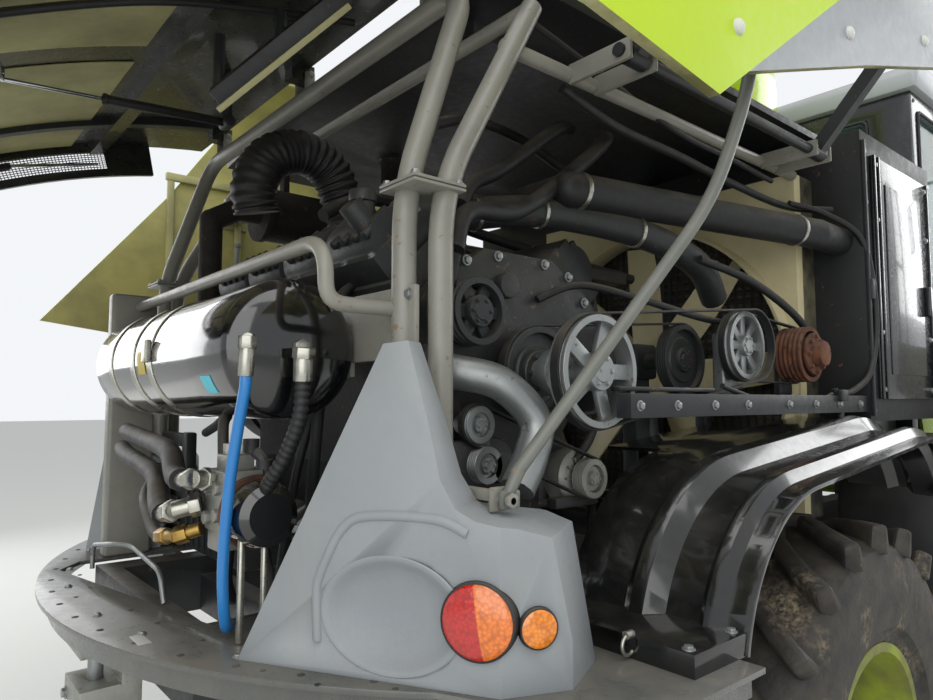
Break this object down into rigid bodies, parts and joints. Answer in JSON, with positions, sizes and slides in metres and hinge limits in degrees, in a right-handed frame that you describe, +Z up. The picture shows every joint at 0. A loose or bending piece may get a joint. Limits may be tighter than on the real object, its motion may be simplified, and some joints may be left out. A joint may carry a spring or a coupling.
{
  "type": "self-propelled forage harvester",
  "caption": "Self-propelled forage harvester parked with its tailgate and side panels open, with wheels, steering, cab door, intake and spout that move.",
  "frame": {"origin": "on the ground under the middle of the overall box", "axes": "+X is forward, +Y is the left side of the machine, +Z is up"},
  "size_m": [7.1523, 3.3, 3.936],
  "materials": {
    "chassis_black": "satin black chassis paint, dusty",
    "deck_grey": "dark glossy grey paint, dusty",
    "grey_plastic": "moulded mid grey plastic, fine grain",
    "lamp_red": "red and amber lens",
    "frame_grey": "grey tube paint, chipped",
    "cast_engine": "dark grey painted castings",
    "cast_dark": "near black painted castings",
    "rusty_iron": "rusted exhaust iron",
    "machined_steel": "zinc grey pulleys and rolls",
    "cream_paint": "cream shroud paint",
    "cream_plastic": "cream fan plastic",
    "lime_paint": "lime green body paint",
    "lime_plastic": "lime green moulded panel, olive inside",
    "black_rubber": "black hose rubber",
    "tank_black": "gloss black pressure tank",
    "bare_aluminium": "bare valve block",
    "gloss_black_plastic": "glossy black mudguard",
    "cab_black": "black cab frame",
    "light_grey": "light grey body paint",
    "window_glass": "tinted cab glass",
    "cab_plastic": "dark cab plastic and cloth",
    "tank_plastic": "black moulded fuel tanks",
    "cast_light": "bare cast hitch head",
    "tyre_rubber": "muddy tyre rubber",
    "chrome_rod": "chromed cylinder rods"
  },
  "bodies": {
    "chassis": {"main_frame": "chassis_black", "rear_deck": "deck_grey", "lamp_pods": "grey_plastic", "tail_lamps": "lamp_red", "post_frame": "frame_grey", "engine_block": "cast_engine", "valve_covers": "cast_dark", "exhaust_system": "rusty_iron", "belt_drive": "machined_steel", "main_drive": "cast_dark", "radiator": "cream_paint", "radiator_housing": "lime_paint", "air_pipes": "black_rubber", "pressure_tank": "tank_black", "hydraulic_block": "bare_aluminium", "hoses": "black_rubber", "mudguards": "gloss_black_plastic", "rear_axle": "chassis_black", "front_axle": "chassis_black", "cab_shell": "cab_black", "cab_roof": "light_grey", "cab_glass": "window_glass", "operator_station": "cab_plastic", "access_platform": "frame_grey", "spout_turret": "chassis_black", "fuel_tanks": "tank_plastic", "cab_fittings": "cab_plastic", "hitch_jaw": "cast_light", "crop_channel": "light_grey"},
    "steering_right": {"knuckle_right": "cast_engine"},
    "steering_left": {"knuckle_left": "cast_engine"},
    "track_rod": {"tie_rod": "chassis_black"},
    "rear_wheel_right": {"rear_rim_right": "lime_paint", "rear_tyre_right": "tyre_rubber"},
    "rear_wheel_left": {"rear_rim_left": "lime_paint", "rear_tyre_left": "tyre_rubber"},
    "front_wheel_right": {"front_rim_right": "lime_paint", "front_tyre_right": "tyre_rubber"},
    "front_wheel_left": {"front_rim_left": "lime_paint", "front_tyre_left": "tyre_rubber"},
    "fan": {"cooling_fan": "cream_plastic"},
    "tail_door": {"tailgate": "lime_paint"},
    "arms_right": {"panel_arms_right": "chassis_black"},
    "arms_left": {"panel_arms_left": "chassis_black"},
    "panel_right": {"side_panel_right": "lime_plastic"},
    "panel_left": {"side_panel_left": "lime_plastic"},
    "stay_right": {"panel_stay_right": "frame_grey"},
    "stay_left": {"panel_stay_left": "frame_grey"},
    "cab_entry": {"cab_door": "cab_black", "door_glass": "window_glass"},
    "intake": {"intake_housing": "lime_paint"},
    "roll_upper": {"feed_roll_upper": "machined_steel"},
    "roll_lower": {"feed_roll_lower": "machined_steel"},
    "barrels": {"lift_barrels": "chassis_black"},
    "rods": {"lift_rods": "chrome_rod"},
    "spout_head": {"spout_base": "lime_paint"},
    "spout_arm": {"spout_boom": "lime_paint"},
    "spout_end": {"spout_flap": "light_grey"}
  },
  "joints": [
    {"name": "steer_right", "type": "hinge", "parent": "chassis", "child": "steering_right", "pos_m": [-1.05, -0.78, 0.627], "axis": [0, 0, 1], "range_deg": [-30, 30]},
    {"name": "steer_left", "type": "hinge", "parent": "chassis", "child": "steering_left", "pos_m": [-1.05, 0.78, 0.627], "axis": [0, 0, 1], "range_deg": [-30, 30]},
    {"name": "track_rod_turn", "type": "hinge", "parent": "steering_right", "child": "track_rod", "pos_m": [-0.79, -0.78, 0.591], "axis": [0, 0, 1], "range_deg": [-30, 30]},
    {"name": "rear_spin_right", "type": "hinge", "parent": "steering_right", "child": "rear_wheel_right", "pos_m": [-1.05, -1.13, 0.627], "axis": [0, 1, 0], "continuous": true},
    {"name": "rear_spin_left", "type": "hinge", "parent": "steering_left", "child": "rear_wheel_left", "pos_m": [-1.05, 1.13, 0.627], "axis": [0, 1, 0], "continuous": true},
    {"name": "front_spin_right", "type": "hinge", "parent": "chassis", "child": "front_wheel_right", "pos_m": [1.9, -1.175, 0.894], "axis": [0, 1, 0], "continuous": true},
    {"name": "front_spin_left", "type": "hinge", "parent": "chassis", "child": "front_wheel_left", "pos_m": [1.9, 1.175, 0.894], "axis": [0, 1, 0], "continuous": true},
    {"name": "fan_spin", "type": "hinge", "parent": "chassis", "child": "fan", "pos_m": [-0.545, -0.25, 1.7], "axis": [1, 0, 0], "continuous": true},
    {"name": "tailgate_swing", "type": "hinge", "parent": "chassis", "child": "tail_door", "pos_m": [-2.125, 0, 2.69], "axis": [0, -1, 0], "range_deg": [0, 36]},
    {"name": "arm_right_swing", "type": "hinge", "parent": "chassis", "child": "arms_right", "pos_m": [-1.225, -1.07197, 2.47], "axis": [1, 0, 0], "range_deg": [0, 98]},
    {"name": "arm_left_swing", "type": "hinge", "parent": "chassis", "child": "arms_left", "pos_m": [-1.225, 1.07197, 2.47], "axis": [-1, 0, 0], "range_deg": [-35, 63]},
    {"name": "panel_right_level", "type": "hinge", "parent": "arms_right", "child": "panel_right", "pos_m": [-1.225, -1.4, 2.84735], "axis": [1, 0, 0], "range_deg": [-98, 0]},
    {"name": "panel_left_level", "type": "hinge", "parent": "arms_left", "child": "panel_left", "pos_m": [-1.225, 1.55712, 2.59096], "axis": [-1, 0, 0], "range_deg": [-63, 35]},
    {"name": "stay_right_fold", "type": "hinge", "parent": "chassis", "child": "stay_right", "pos_m": [-2.236, -1.1, 1.405], "axis": [0, 1, 0], "range_deg": [0, 48]},
    {"name": "stay_left_fold", "type": "hinge", "parent": "chassis", "child": "stay_left", "pos_m": [-2.236, 1.1, 1.405], "axis": [0, 1, 0], "range_deg": [-18, 48]},
    {"name": "door_swing", "type": "hinge", "parent": "chassis", "child": "cab_entry", "pos_m": [1.796, 0.844, 2.65], "axis": [0, 0, 1], "range_deg": [0, 80]},
    {"name": "intake_lift", "type": "hinge", "parent": "chassis", "child": "intake", "pos_m": [2.435, 0, 0.97], "axis": [0, -1, 0], "range_deg": [-6, 8]},
    {"name": "roll_upper_spin", "type": "hinge", "parent": "intake", "child": "roll_upper", "pos_m": [3.386, 0, 1.37], "axis": [0, 1, 0], "continuous": true},
    {"name": "roll_lower_spin", "type": "hinge", "parent": "intake", "child": "roll_lower", "pos_m": [3.386, 0, 1.09], "axis": [0, 1, 0], "continuous": true},
    {"name": "barrel_swing", "type": "hinge", "parent": "chassis", "child": "barrels", "pos_m": [2.09, 0, 0.725], "axis": [0, -1, 0], "range_deg": [-4.2, 5.57]},
    {"name": "rod_slide", "type": "slide", "parent": "barrels", "child": "rods", "axis": [0.9955, 0, 0.0944], "range_m": [-0.0227, 0.0299]},
    {"name": "spout_turn", "type": "hinge", "parent": "chassis", "child": "spout_head", "pos_m": [0.77, 0, 2.96], "axis": [0, 0, 1], "range_deg": [-100, 100]},
    {"name": "spout_lift", "type": "hinge", "parent": "spout_head", "child": "spout_arm", "pos_m": [0.484, 0, 3.91], "axis": [0, 1, 0], "range_deg": [0, 35]},
    {"name": "flap_swing", "type": "hinge", "parent": "spout_arm", "child": "spout_end", "pos_m": [-2.162, 0, 3.834], "axis": [0, -1, 0], "range_deg": [0, 60]}
  ],
  "couplings": [
    {"joint": "steer_left", "follows": "steer_right", "ratio": 1},
    {"joint": "track_rod_turn", "follows": "steer_right", "ratio": -1},
    {"joint": "panel_right_level", "follows": "arm_right_swing", "ratio": -1},
    {"joint": "panel_left_level", "follows": "arm_left_swing", "ratio": -1},
    {"joint": "stay_right_fold", "follows": "arm_right_swing", "ratio": 0.4898},
    {"joint": "stay_left_fold", "follows": "arm_left_swing", "ratio": 0.4898},
    {"joint": "barrel_swing", "follows": "intake_lift", "ratio": 0.684},
    {"joint": "rod_slide", "follows": "intake_lift", "m_per_rad": 0.207}
  ]
}
